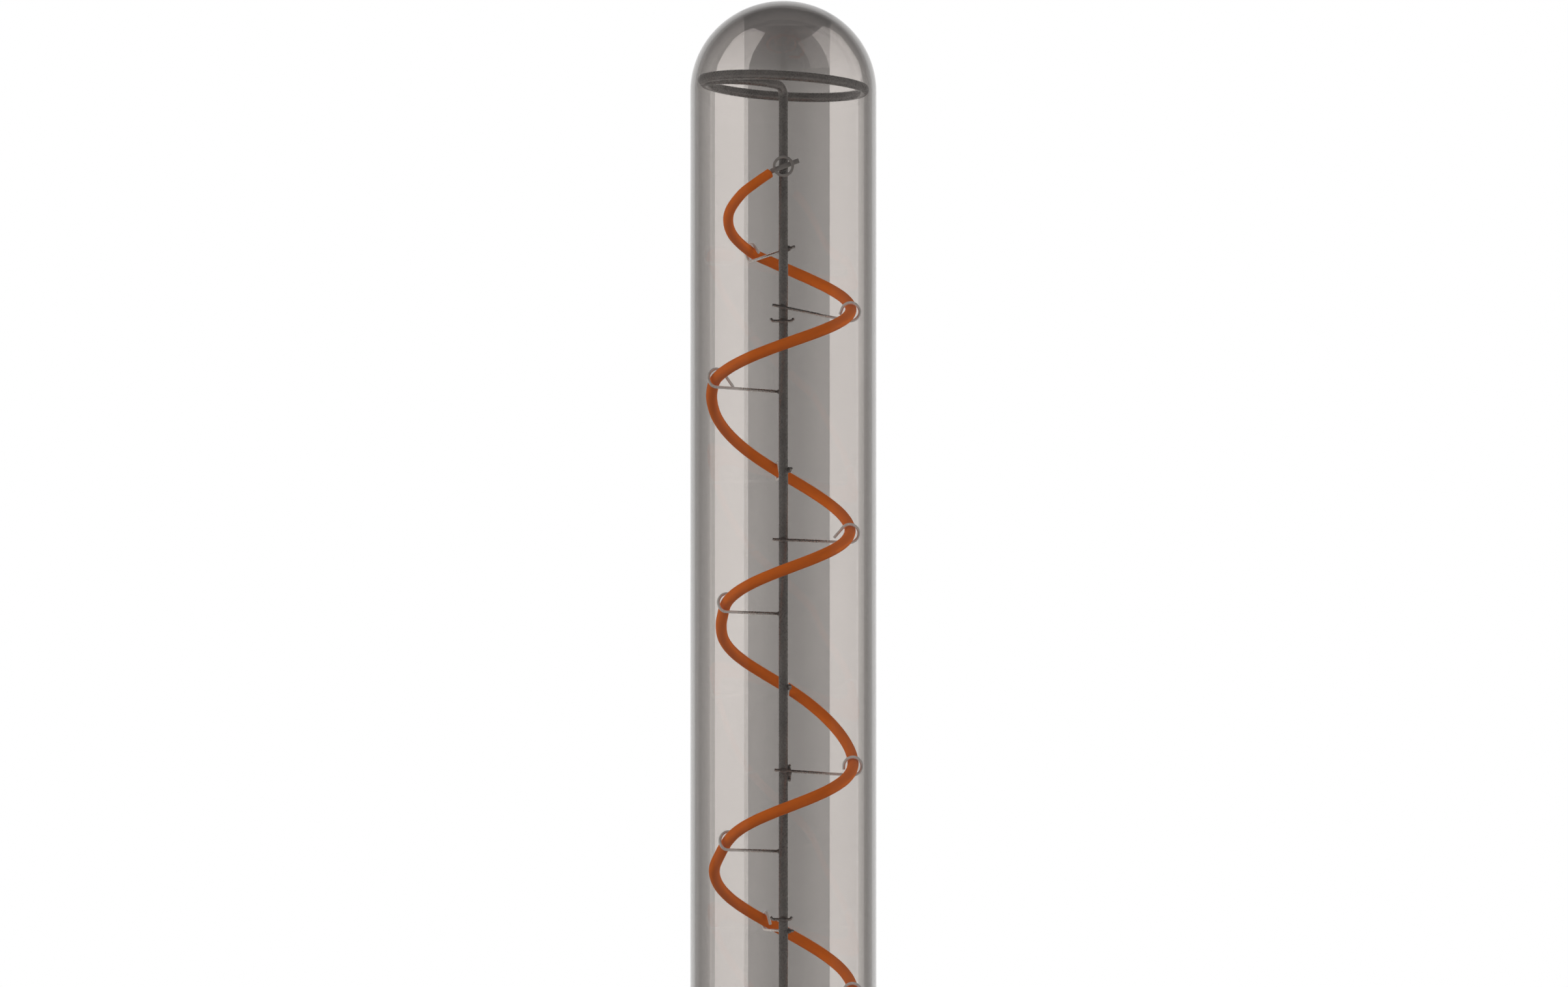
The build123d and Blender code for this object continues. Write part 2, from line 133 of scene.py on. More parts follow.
# Hooks: azimuth, level on the rod, level of the eye's centre, gap between the eye's centre and the glass,
# turn of the eye, its free end, tail behind the rod
hooks = [
    (122.5, 249.7, 250.1, 3.7, 230.0, 2.3, 1.2),
    (-3.0, 237.6, 236.6, 4.4, 262.0, 1.2, 1.2),
    (-150.0, 220.5, 222.8, 3.3, 230.0, 3.6, 0.2),
    (100.0, 204.5, 205.0, 3.9, 230.0, 2.3, 1.2),
    (0.0, 190.2, 191.5, 4.6, 232.0, 2.7, 1.2),
    (-152.0, 175.2, 177.3, 5.7, 215.0, 0.5, 0.2),
    (92.0, 160.2, 160.2, 4.0, 230.0, 2.3, 1.2),
    (0.0, 143.2, 144.1, 4.0, 275.0, 0.6, 0.8),
    (-150.0, 126.7, 129.0, 5.8, 215.0, 0.5, 0.2),
    (110.0, 110.5, 112.0, 3.8, 230.0, 2.3, 1.2),
    (0.0, 97.0, 98.0, 4.1, 250.0, 1.4, 1.2),
    (-150.0, 81.5, 83.0, 4.1, 215.0, 0.5, 0.2),
    (100.0, 67.0, 67.5, 3.9, 230.0, 2.3, 1.2),
]

# Where the filament sags outward below a hook: the hook's number, azimuth, radius, level
sags = {3: (180.0, 14.6, 218.6), 6: (180.0, 12.7, 172.7), 9: (180.0, 14.1, 123.1)}

# Cut wires on the rod: azimuth of the weld, level, ends along the wire, and upright or level
stubs = [
    (-90.0, 234.8, -2.1, 1.6, False),
    (-90.0, 112.9, -2.1, 1.3, False),
    (0.0, 142.8, -1.2, 1.0, True),
]

wire_offset = rod_radius + wire_radius
dome_bottom = overall_length - dome_height
glass_bore = glass_radius - glass_wall


def polar(radius, azimuth, level=0.0):
    """Point at a radius and azimuth round the bulb's axis."""
    return Vector((radius * cos(radians(azimuth)), radius * sin(radians(azimuth)), level))


class Tree:
    """A node tree, with short ways to add nodes and to feed their sockets."""

    def __init__(self, tree):
        self.tree = tree

    def node(self, kind, **inputs):
        made = self.tree.nodes.new(kind)
        for name, value in inputs.items():
            self.feed(made.inputs[name.replace("_", " ")], value)
        return made

    def feed(self, socket, value):
        if isinstance(value, bpy.types.NodeSocket):
            self.tree.links.new(value, socket)
        elif isinstance(value, tuple) and socket.type == "RGBA":
            socket.default_value = (*value, 1.0)
        else:
            socket.default_value = value

    def math(self, operation, *values, kind="ShaderNodeMath"):
        """What a math node makes of its values."""
        made = self.node(kind)
        made.operation = operation
        for socket, value in zip(made.inputs, values):
            self.feed(socket, value)
        return made.outputs["Value"]

    def length(self, vector):
        return self.math("LENGTH", vector, kind="ShaderNodeVectorMath")

    def axes(self, space="Object"):
        """Each point's place, or each ray's way, axis by axis."""
        place = self.node("ShaderNodeTexCoord").outputs[space]
        return self.node("ShaderNodeSeparateXYZ", Vector=place).outputs

    def spread(self, source, low=0.0, high=1.0, start=0.3, end=0.7):
        """Source between start and end, carried to low and high."""
        made = self.node("ShaderNodeMapRange", Value=source)
        for name, value in (("From Min", start), ("From Max", end), ("To Min", low), ("To Max", high)):
            made.inputs[name].default_value = value
        return made.outputs["Result"]

    def seen(self):
        """1 for camera, glossy and transmission rays."""
        path = self.node("ShaderNodeLightPath").outputs
        either = self.math("MAXIMUM", path["Is Camera Ray"], path["Is Glossy Ray"])
        return self.math("MAXIMUM", either, path["Is Transmission Ray"])

    def show(self, share, first, second, output="Material Output"):
        """The surface goes from the first shader to the second by their share."""
        mix = self.node("ShaderNodeMixShader", Fac=share)
        self.feed(mix.inputs[1], first.outputs[0])
        self.feed(mix.inputs[2], second.outputs[0])
        self.feed(self.tree.nodes[output].inputs["Surface"], mix.outputs["Shader"])


class Finish(Tree):
    """A procedural material: a Principled shader with noise behind its colour, roughness and bump."""

    def __init__(self, name, **sockets):
        self.material = bpy.data.materials.new(name)
        self.material.use_nodes = True
        super().__init__(self.material.node_tree)
        self.shader = self.tree.nodes["Principled BSDF"]
        self.place = self.node("ShaderNodeTexCoord").outputs["Object"]
        for socket, value in sockets.items():
            self.set(socket.replace("_", " "), value)

    def set(self, socket, value):
        self.feed(self.shader.inputs[socket], value)

    def noise(self, scale, detail=3.0, stretch=(1.0, 1.0, 1.0)):
        """Noise between 0 and 1, scale features a metre, drawn out along an axis by a stretch under 1."""
        mapping = self.node("ShaderNodeMapping", Vector=self.place, Scale=stretch)
        place = mapping.outputs["Vector"]
        return self.node("ShaderNodeTexNoise", Vector=place, Scale=scale, Detail=detail).outputs["Fac"]

    def blend(self, share, low, high):
        """Colour between two colours or colour sockets."""
        made = self.node("ShaderNodeMix")
        made.data_type = "RGBA"
        self.feed(made.inputs["Factor"], share)
        self.feed(made.inputs[6], low)
        self.feed(made.inputs[7], high)
        return made.outputs[2]

    def bump(self, height, distance, strength=1.0):
        """Relief of a height socket, distance millimetres deep."""
        made = self.node("ShaderNodeBump", Height=height, Strength=strength, Distance=distance * MM)
        self.set("Normal", made.outputs["Normal"])

    def let_lamps_through(self, tint):
        """Lamp rays pass this glass by its tint, so that they reach what is inside."""
        clear = self.node("ShaderNodeBsdfTransparent", Color=tint)
        self.show(self.node("ShaderNodeLightPath").outputs["Is Shadow Ray"], self.shader, clear)


def smoked_glass_finish():
    """Polished smoke-grey glass, a little denser over the dome, with the slow waves of drawn tube."""
    made = Finish("smoked_glass", Roughness=0.0, IOR=1.46, Transmission_Weight=1.0)
    cloud = made.spread(made.noise(45.0, 2.0, (1.0, 1.0, 0.25)))
    wall = made.blend(cloud, (0.565, 0.545, 0.53), (0.6, 0.578, 0.562))
    crown = made.blend(cloud, (0.455, 0.434, 0.423), (0.48, 0.458, 0.446))
    level = made.node("ShaderNodeSeparateXYZ", Vector=made.place).outputs["Z"]
    dome_share = made.spread(level, start=0.284, end=0.297)
    along_wall = made.node("ShaderNodeLayerWeight", Blend=0.5).outputs["Facing"]
    rim = made.spread(along_wall, start=0.5, end=0.85)
    made.set("Base Color", made.blend(rim, made.blend(dome_share, wall, crown), (0.22, 0.21, 0.2)))
    made.bump(made.noise(30.0, 1.0, (1.0, 1.0, 0.12)), 0.012)
    made.let_lamps_through((0.92, 0.91, 0.9))
    return made.material


def clear_glass_finish():
    """Fire-polished clear glass of the stem, with small seeds in it."""
    made = Finish("clear_glass", IOR=1.5, Transmission_Weight=1.0)
    seeds = made.spread(made.noise(900.0, 1.0), start=0.62, end=0.72)
    made.set("Roughness", made.spread(seeds, 0.015, 0.05, 0.0, 1.0))
    made.set("Base Color", made.blend(seeds, (0.93, 0.95, 0.94), (0.8, 0.83, 0.82)))
    made.bump(made.noise(220.0, 2.0), 0.05)
    made.let_lamps_through((0.96, 0.97, 0.97))
    return made.material


def steel_finish(name, dark, light, roughness, metal=1.0, streak=(1.0, 1.0, 0.04)):
    """Wire or strip: grey metal with a fine grain, drawn out along Z by the streak, and duller patches."""
    made = Finish(name, Metallic=metal)
    lines = made.noise(2600.0, 2.0, streak)
    patches = made.noise(160.0, 3.0)
    made.set("Base Color", made.blend(made.spread(patches), dark, light))
    made.set("Roughness", made.spread(lines, roughness - 0.05, roughness + 0.06))
    made.bump(lines, 0.004, 0.4)
    return made.material


def hook_finish():
    """Hook wire with fine drawing marks: painted shade darkens it near the rod, and painted light makes it
    lighter and less metallic towards the eye.
    """
    made = Finish("hook_wire", Metallic=1.0)
    flat = made.node("ShaderNodeMapping", Vector=made.place, Scale=(1.0, 1.0, 0.0)).outputs["Vector"]
    reach = made.length(flat)
    grain = made.noise(3200.0, 3.0)
    # Painted shade near the rod and painted light towards the eye, set by distance from the axis
    painted_shade_fade = made.spread(reach, start=0.002, end=0.0075)
    painted_shade_colour = made.blend(painted_shade_fade, (0.45, 0.43, 0.41), (0.8, 0.78, 0.75))
    bright = made.blend(made.spread(reach, start=0.0075, end=0.0105), painted_shade_colour, (0.95, 0.935, 0.91))
    made.set("Metallic", made.spread(reach, 1.0, 0.3, start=0.0075, end=0.0105))
    made.set("Base Color", made.blend(made.spread(grain, 0.0, 0.35), bright, (0.3, 0.29, 0.28)))
    made.set("Roughness", made.spread(grain, 0.18, 0.32))
    made.bump(grain, 0.02, 0.5)
    return made.material


def weld_finish():
    """Melted steel at the welds: darker and rougher."""
    made = Finish("weld_steel", Metallic=1.0)
    heat = made.spread(made.noise(1400.0, 2.0))
    made.set("Roughness", made.spread(heat, 0.36, 0.54, 0.0, 1.0))
    made.set("Base Color", made.blend(heat, (0.2, 0.19, 0.185), (0.4, 0.385, 0.37)))
    made.bump(made.noise(2600.0, 3.0), 0.08, 0.7)
    return made.material


def filament_finish():
    """Amber silicone with phosphor in it: satin and slightly mottled."""
    made = Finish("filament_coat", IOR=1.41, Specular_IOR_Level=0.3)
    fine = made.noise(2400.0, 3.0)
    broad = made.noise(260.0, 2.0)
    deep = made.blend(made.spread(fine), (0.84, 0.175, 0.006), (0.92, 0.2, 0.01))
    made.set("Base Color", made.blend(made.spread(broad, 0.0, 0.5), deep, (0.82, 0.165, 0.006)))
    made.set("Roughness", made.spread(fine, 0.58, 0.74))
    made.bump(fine, 0.03, 0.5)
    return made.material


def cap_metal_finish():
    """Rolled nickel-plated shell: fine turned lines and small stains."""
    made = Finish("cap_metal", Metallic=1.0)
    lines = made.noise(3800.0, 3.0, (0.03, 0.03, 1.0))
    stains = made.noise(140.0, 4.0)
    made.set("Base Color", made.blend(made.spread(stains), (0.56, 0.55, 0.52), (0.72, 0.71, 0.69)))
    made.set("Roughness", made.spread(lines, 0.2, 0.38))
    made.bump(lines, 0.02, 0.6)
    return made.material


def insulator_finish():
    """Black vitreous insulator: glossy, with faint swirls."""
    made = Finish("black_insulator", IOR=1.52)
    swirl = made.noise(320.0, 4.0)
    made.set("Base Color", made.blend(made.spread(swirl), (0.008, 0.008, 0.01), (0.022, 0.02, 0.022)))
    made.set("Roughness", made.spread(swirl, 0.08, 0.2))
    made.bump(made.noise(700.0, 3.0), 0.05, 0.5)
    return made.material


def contact_finish():
    """Tinned contact: silvery solder over brass, with the scratches of earlier use."""
    made = Finish("contact_metal", Metallic=1.0)
    puddle = made.noise(520.0, 3.0)
    made.set("Base Color", made.blend(made.spread(puddle), (0.6, 0.58, 0.54), (0.8, 0.79, 0.76)))
    made.set("Roughness", made.spread(puddle, 0.18, 0.42))
    made.bump(made.noise(900.0, 3.0), 0.08, 0.6)
    return made.material


def cement_finish():
    """Basing cement: matt, grainy and off-white."""
    made = Finish("cement")
    grain = made.noise(2600.0, 5.0)
    made.set("Base Color", made.blend(made.spread(grain), (0.5, 0.47, 0.41), (0.72, 0.7, 0.64)))
    made.set("Roughness", made.spread(grain, 0.8, 0.95))
    made.bump(grain, 0.25, 0.9)
    return made.material


def board_finish():
    """Circuit board: green lacquer over a fine glass weave."""
    made = Finish("board")
    weave = made.node("ShaderNodeTexWave", Vector=made.place, Scale=900.0, Distortion=0.4).outputs["Fac"]
    made.set("Base Color", made.blend(made.spread(weave), (0.02, 0.13, 0.06), (0.04, 0.19, 0.09)))
    made.set("Roughness", made.spread(made.noise(1800.0), 0.3, 0.45))
    made.bump(weave, 0.02, 0.4)
    return made.material


def moulded_finish(name, dark, light, roughness, grain=1500.0):
    """Moulded or lacquered body with a fine grain."""
    made = Finish(name)
    speckle = made.noise(grain, 3.0)
    made.set("Base Color", made.blend(made.spread(speckle), dark, light))
    made.set("Roughness", made.spread(speckle, roughness - 0.08, roughness + 0.08))
    made.bump(speckle, 0.04, 0.5)
    return made.material


even = (1.0, 1.0, 1.0)
finishes = {
    "smoked_glass": smoked_glass_finish(),
    "clear_glass": clear_glass_finish(),
    "rod_steel": steel_finish("rod_steel", (0.2, 0.192, 0.186), (0.27, 0.26, 0.252), 0.28, 0.5, even),
    "hook_wire": hook_finish(),
    "tab_metal": steel_finish("tab_metal", (0.32, 0.31, 0.3), (0.44, 0.425, 0.41), 0.34, 0.4, even),
    "lead_metal": steel_finish("lead_metal", (0.58, 0.56, 0.53), (0.72, 0.7, 0.67), 0.3),
    "weld_steel": weld_finish(),
    "filament_coat": filament_finish(),
    "cap_metal": cap_metal_finish(),
    "black_insulator": insulator_finish(),
    "contact_metal": contact_finish(),
    "cement": cement_finish(),
    "board": board_finish(),
    "chip_black": moulded_finish("chip_black", (0.018, 0.018, 0.019), (0.045, 0.045, 0.047), 0.55),
    "capacitor_sleeve": moulded_finish(
        "capacitor_sleeve", (0.03, 0.03, 0.045), (0.06, 0.06, 0.08), 0.3, 700.0
    ),
    "resistor_body": moulded_finish("resistor_body", (0.16, 0.3, 0.38), (0.24, 0.4, 0.48), 0.4),
}


def piece(name, verts, faces, slot, nodes, second=None, second_from=None):
    """One smooth-shaded mesh piece on the root body, in place of its CAD nodes.

    Faces from second_from on take the finish named second.
    """
    mesh = bpy.data.meshes.new(name)
    mesh.from_pydata([tuple(Vector(vert) * MM) for vert in verts], [], faces)
    mesh.materials.append(finishes[slot])
    if second:
        mesh.materials.append(finishes[second])
    for index, polygon in enumerate(mesh.polygons):
        polygon.use_smooth = True
        polygon.material_index = int(second is not None and index >= second_from)
    shell = bmesh.new()
    shell.from_mesh(mesh)
    bmesh.ops.recalc_face_normals(shell, faces=shell.faces)
    shell.to_mesh(mesh)
    shell.free()
    made = bpy.data.objects.new(name, mesh)
    bpy.context.scene.collection.objects.link(made)
    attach(made, "root")
    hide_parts(*nodes)


def join(*meshes):
    """Several (verts, faces) as one."""
    verts, faces = [], []
    for part_verts, part_faces in meshes:
        start = len(verts)
        verts += list(part_verts)
        faces += [tuple(start + index for index in face) for face in part_faces]
    return verts, faces


def bridge(rings, closed=False):
    """Faces between rings of vertex numbers; a ring of one number is a pole."""
    faces = []
    following = rings[1:] + (rings[:1] if closed else [])
    for low, high in zip(rings, following):
        count = max(len(low), len(high))
        for index in range(count):
            after = (index + 1) % count
            if len(low) == 1 and len(high) > 1:
                faces.append((low[0], high[after], high[index]))
            elif len(high) == 1 and len(low) > 1:
                faces.append((low[index], low[after], high[0]))
            elif len(low) > 1:
                faces.append((low[index], low[after], high[after], high[index]))
    return faces


def add_ring(verts, rings, points):
    """Points as one more ring."""
    rings.append(list(range(len(verts), len(verts) + len(points))))
    verts += points


def lathe(profile, sides, closed=False):
    """A profile of (radius, level) points turned round Z."""
    verts, rings = [], []
    for radius, level in profile:
        count = sides if radius > 1e-6 else 1
        add_ring(verts, rings, [polar(radius, 360 * index / count, level) for index in range(count)])
    return verts, bridge(rings, closed)


def tube(path, radius, sides, end_bulge=0.35, widths=None):
    """A round wire along a path, with softened ends. widths scales the radius point by point."""
    path = [Vector(point) for point in path]
    tangents = []
    for index in range(len(path)):
        before, after = path[max(index - 1, 0)], path[min(index + 1, len(path) - 1)]
        tangents.append((after - before).normalized())
    normal = tangents[0].orthogonal().normalized()
    widths = widths or [1.0] * len(path)
    bulge = radius * end_bulge

    def end_station(end, tangent, turn, way):
        return end + tangent * bulge * sin(radians(turn)) * way, tangent, cos(radians(turn))

    stations = [end_station(path[0], tangents[0], turn, -1) for turn in (60, 30)]
    stations += list(zip(path, tangents, widths))
    stations += [end_station(path[-1], tangents[-1], turn, 1) for turn in (30, 60)]
    verts, rings = [path[0] - tangents[0] * bulge], [[0]]
    turns = [2 * pi * index / sides for index in range(sides)]
    for point, tangent, width in stations:
        normal = (normal - tangent * normal.dot(tangent)).normalized()
        side = tangent.cross(normal)
        reach = radius * width
        add_ring(verts, rings, [point + (normal * cos(turn) + side * sin(turn)) * reach for turn in turns])
    add_ring(verts, rings, [path[-1] + tangents[-1] * bulge])
    return verts, bridge(rings)


def ellipsoid(centre, axes, sides=16, rows=9):
    """A ball drawn out along three half axes."""
    verts, rings = [centre - axes[2]], [[0]]
    turns = [2 * pi * index / sides for index in range(sides)]
    belt = [axes[0] * cos(turn) + axes[1] * sin(turn) for turn in turns]
    for row in range(1, rows):
        rise = pi * row / rows - pi / 2
        add_ring(verts, rings, [centre + out * cos(rise) + axes[2] * sin(rise) for out in belt])
    add_ring(verts, rings, [centre + axes[2]])
    return verts, bridge(rings)


def spline(points, steps):
    """A smooth line through points, with steps spans between each two."""
    points = [Vector(point) for point in points]
    ends = [points[0] * 2 - points[1], *points, points[-1] * 2 - points[-2]]
    line = []
    for index in range(1, len(ends) - 2):
        before, here, there, beyond = ends[index - 1 : index + 3]
        for step in range(steps):
            share = step / steps
            line.append(
                0.5
                * (
                    here * 2
                    + (there - before) * share
                    + (before * 2 - here * 5 + there * 4 - beyond) * share**2
                    + (here * 3 - before - there * 3 + beyond) * share**3
                )
            )
    return [*line, points[-1]]


def straight(start, end, spacing=1.5):
    """Points from start up to, and without, end."""
    count = max(1, ceil((end - start).length / spacing))
    return [start.lerp(end, index / count) for index in range(count)]


# Glass envelope
def glass_outline(inset):
    """Half section of the envelope from neck to dome, inset from its outer skin."""
    step_out = glass_radius - neck_radius
    lean = inset * sin(atan2(step_out, shoulder_height))
    neck_height = shoulder_bottom - neck_bottom
    points = [(neck_radius - inset, neck_bottom + neck_height * index / 4) for index in range(4)]
    for index in range(25):
        share = index / 24
        radius = neck_radius - inset + step_out * (1 - cos(pi * share)) / 2
        points.append((radius, shoulder_bottom + shoulder_height * share + lean * sin(pi * share)))
    tube_bottom = shoulder_bottom + shoulder_height
    tube_height = dome_bottom - tube_bottom
    points += [(glass_radius - inset, tube_bottom + tube_height * index / 12) for index in range(1, 12)]
    for index in range(32):
        turn = pi / 2 * index / 32
        points.append(((glass_radius - inset) * cos(turn), dome_bottom + (dome_height - inset) * sin(turn)))
    return [*points, (0.0, overall_length - inset)]


outline = glass_outline(0) + glass_outline(glass_wall)[::-1]
piece("bulb_glass", *lathe(outline, 144, closed=True), "smoked_glass", ["glass_envelope"])


# Support rod with its bend, arm and ring
ring_turn = Matrix.Rotation(radians(ring_tilt), 3, "Y")
ring_origin = Vector((0, 0, ring_level))


def ring_arc(centre, radius, start, sweep_angle, step):
    """Points along an arc on the ring's plane, both ends included."""
    count = ceil(abs(sweep_angle) / step)
    turns = [start + sweep_angle * index / count for index in range(count + 1)]
    return [ring_origin + ring_turn @ (centre + polar(radius, turn)) for turn in turns]


bend_way = ring_turn @ polar(1, arm_azimuth)
bend_centre = ring_origin + (bend_way - UP) * rod_bend_radius
arm_start = rod_bend_radius + arm_straight
arm_radius = (ring_radius**2 - arm_start**2) / (2 * ring_radius)
arm_centre = polar(arm_start, arm_azimuth) + polar(arm_radius, arm_azimuth - 90)
ring_join = degrees(atan2(arm_centre.y, arm_centre.x))
arm_sweep = ring_join - (arm_azimuth + 90) - 360
rod_path = straight(Vector((0, 0, rod_foot)), Vector((0, 0, ring_level - rod_bend_radius)), 6.0)
for turn in range(0, 90, 6):
    inward = bend_way * (rod_bend_radius * cos(radians(turn)))
    rod_path.append(bend_centre - inward + UP * (rod_bend_radius * sin(radians(turn))))
rod_path += ring_arc(arm_centre, arm_radius, arm_azimuth + 90, arm_sweep, 5.0)
rod_path += ring_arc(Vector((0, 0, 0)), ring_radius, ring_join, ring_end_azimuth - ring_join, 3.0)[1:]
piece("rod_and_ring", *tube(rod_path, rod_radius, 24), "rod_steel", ["support_rod"])


# Hooks
class HookSeat:
    """Where one hook lies: its wire runs beside the rod, in an upright plane with its eye."""

    def __init__(self, azimuth, rod_level, eye_level, glass_gap, sweep, free_end, tail):
        reach = glass_bore - glass_gap
        self.sweep, self.free_end, self.tail = sweep, free_end, tail
        slope = asin((eye_level - rod_level - eye_radius) / reach)
        self.side = polar(1, azimuth - 90)
        self.along = polar(1, azimuth) * cos(slope) + UP * sin(slope)
        self.up = self.side.cross(self.along)
        self.weld = UP * rod_level + self.side * wire_offset
        self.run = sqrt(reach**2 - wire_offset**2)
        self.eye = self.point(self.run, eye_radius)

    def point(self, out, rise):
        return self.weld + self.along * out + self.up * rise


def weld(centre, along, up, across):
    """The flattened lump that holds a wire to the rod."""
    return ellipsoid(
        centre - across * wire_radius * 0.5,
        (along * weld_half[0], up * weld_half[1], across * weld_half[2]),
    )


seats = [HookSeat(*hook) for hook in hooks]
for number, seat in enumerate(seats, start=1):
    path = straight(seat.point(-rod_radius - seat.tail, 0), seat.point(seat.run, 0))
    turns = [radians(seat.sweep * index / 23 - 90) for index in range(24)]
    path += [seat.point(seat.run + eye_radius * cos(turn), eye_radius * (1 + sin(turn))) for turn in turns]
    way = seat.along * -sin(turns[-1]) + seat.up * cos(turns[-1])
    path += [path[-1] + way * seat.free_end * share for share in (0.33, 0.66, 1.0)]
    wire = tube(path, wire_radius, 12)
    verts, faces = join(wire, weld(seat.weld, seat.along, seat.up, seat.side))
    node = f"support_hook_{number:02d}"
    piece(f"hook_{number:02d}", verts, faces, "hook_wire", [node], "weld_steel", len(wire[1]))

for number, (azimuth, level, start, end, upright) in enumerate(stubs, start=1):
    outward = polar(1, azimuth)
    along = UP if upright else polar(1, azimuth + 90)
    up = outward.cross(along)
    middle = polar(wire_offset, azimuth, level)
    runs = [(start - stub_hook, stub_hook), (start, 0), ((start + end) / 2, 0), (end, 0)]
    runs.append((end + stub_hook, stub_hook))
    path = spline([middle + along * out + up * rise for out, rise in runs], 5)
    wire = tube(path, wire_radius, 12)
    verts, faces = join(wire, weld(middle, along, up, outward))
    node = f"wire_stub_{number}"
    piece(f"cut_wire_{number}", verts, faces, "hook_wire", [node], "weld_steel", len(wire[1]))


# Filament and its ends
def unwound(seats):
    """Azimuth, radius and level of each eye and sag, the azimuth falling steadily from one to the next."""
    stops = []
    for number, seat in enumerate(seats, start=1):
        stops.append((degrees(atan2(seat.eye.y, seat.eye.x)), hypot(seat.eye.x, seat.eye.y), seat.eye.z))
        if number in sags:
            stops.append(sags[number])
    knots = stops[:1]
    for azimuth, radius, level in stops[1:]:
        knots.append((azimuth - 360 * ceil((azimuth - knots[-1][0]) / 360), radius, level))
    return knots


def glide(pair, slopes, item, share):
    """One item between two knots: a cubic blend that leaves and arrives with the given slopes."""
    rest = 1 - share
    span = pair[1][0] - pair[0][0]
    value = (1 + 2 * share) * rest**2 * pair[0][item] + share**2 * (3 - 2 * share) * pair[1][item]
    return value + span * (share * rest**2 * slopes[0][item] - share**2 * rest * slopes[1][item])


def coil_points(knots, step_angle=20.0):
    """Points along the filament from the first eye to the last."""
    slopes = []
    for index in range(len(knots)):
        before, after = knots[max(index - 1, 0)], knots[min(index + 1, len(knots) - 1)]
        turn = after[0] - before[0]
        slopes.append((1, (after[1] - before[1]) / turn, (after[2] - before[2]) / turn))
    points = []
    for index in range(len(knots) - 1):
        pair, ways = knots[index : index + 2], slopes[index : index + 2]
        span = pair[1][0] - pair[0][0]
        steps = ceil(abs(span) / step_angle)
        for step in range(steps):
            radius, level = (glide(pair, ways, item, step / steps) for item in (1, 2))
            points.append(polar(radius, pair[0][0] + span * step / steps, level))
    return [*points, polar(knots[-1][1], knots[-1][0], knots[-1][2])]


tab_way = Vector((cos(radians(top_tab_slope)), 0, sin(radians(top_tab_slope))))
tab_rise = Vector((-sin(radians(top_tab_slope)), 0, cos(radians(top_tab_slope))))
tab_centre = Vector((0, -(rod_radius + tab_thickness / 2), top_tab_level))
top_end = tab_centre + tab_way * top_tab_ends[0]
bottom_tab_y = lead_radius + tab_thickness / 2
bottom_end = Vector((bottom_tab_ends[1], bottom_tab_y, bottom_tab_level))
route = [top_end + Vector(filament_end_drop), *[top_end + Vector(step) for step in lead_in_steps]]
route += coil_points(unwound(seats))
route += [*[bottom_end + Vector(step) for step in lead_out_steps], bottom_end]
filament_line = spline(route, 6)
widths = [min(1.0, slim_end + (1 - slim_end) * index / slim_steps) for index in range(len(filament_line))]
amber = tube(filament_line, filament_radius, 24, 0.5, widths)
piece("amber_filament", *amber, "filament_coat", ["filament"])


def strip(centre, along, up, across, ends, bevel=0.06):
    """A thin flat strip with softened edges, as rings of its section."""
    half_width, half_thickness = tab_width / 2, tab_thickness / 2
    corners = [(-1, -1), (1, -1), (1, 1), (-1, 1)]
    verts, rings = [], []
    stations = [(ends[0], bevel), (ends[0] + bevel, 0), (ends[1] - bevel, 0), (ends[1], bevel)]
    for out, shrink in stations:
        points = []
        for sign_up, sign_across in corners:
            order = 1 if sign_up * sign_across < 0 else -1
            for slide_up, slide_across in ((bevel, 0), (0, bevel))[::order]:
                rise = sign_up * (half_width - shrink - slide_up)
                push = sign_across * (half_thickness - shrink / 2 - slide_across)
                points.append(centre + along * out + up * rise + across * push)
        add_ring(verts, rings, points)
    return verts, [tuple(rings[0])[::-1], tuple(rings[-1]), *bridge(rings)]


across_front = Vector((0, -1, 0))
top_strip = strip(tab_centre, tab_way, tab_rise, across_front, top_tab_ends)
piece("top_tab", *top_strip, "tab_metal", ["filament_top_tab"])
bottom_centre = Vector((0, bottom_tab_y, bottom_tab_level))
bottom_strip = strip(bottom_centre, Vector((1, 0, 0)), UP, across_front, bottom_tab_ends)
piece("bottom_tab", *bottom_strip, "tab_metal", ["filament_bottom_tab"])

clip_centre = Vector((0, -(rod_radius + tab_thickness + clip_wire_radius), top_tab_level))
clip_turns = [radians(clip_gap_azimuth + clip_sweep * index / 48) for index in range(49)]
clip_path = [clip_centre + Vector((cos(turn), 0, sin(turn))) * clip_radius for turn in clip_turns]
piece("end_clip", *tube(clip_path, clip_wire_radius, 12), "hook_wire", ["filament_end_clip"], "tab_metal", 0)


# Lead wires
def lead(name, node, corners):
    """One lead wire along its corners, with each bend rounded."""
    corners = [Vector(corner) for corner in corners]
    path = [corners[0]]
    for before, here, after in zip(corners, corners[1:], corners[2:]):
        reach = min((here - before).length, (after - here).length) * 0.45
        into = here + (before - here).normalized() * reach
        out = here + (after - here).normalized() * reach
        path += straight(path[-1], into)[1:]
        bend = [index / 4 for index in range(5)]
        path += [into.lerp(here, share).lerp(here.lerp(out, share), share) for share in bend]
    path += [*straight(path[-1], corners[-1])[1:], corners[-1]]
    piece(name, *tube(path, lead_radius, 14), "lead_metal", [node])


foot = [(board_front, lead_foot_level), (lead_bend, lead_foot_level), (0, lead_foot_level + lead_bend)]
right_foot = [(lead_x, y, z) for y, z in foot]
lead("filament_lead", "filament_lead_wire", [*right_foot, (lead_x, 0, filament_lead_top)])
lead(
    "rod_lead",
    "rod_lead_wire",
    [
        *[(-lead_x, y, z) for y, z in foot],
        (-lead_x, 0, rod_lead_level - lead_bend),
        (lead_bend - lead_x, 0, rod_lead_level),
        (-rod_radius, 0, rod_lead_level),
    ],
)


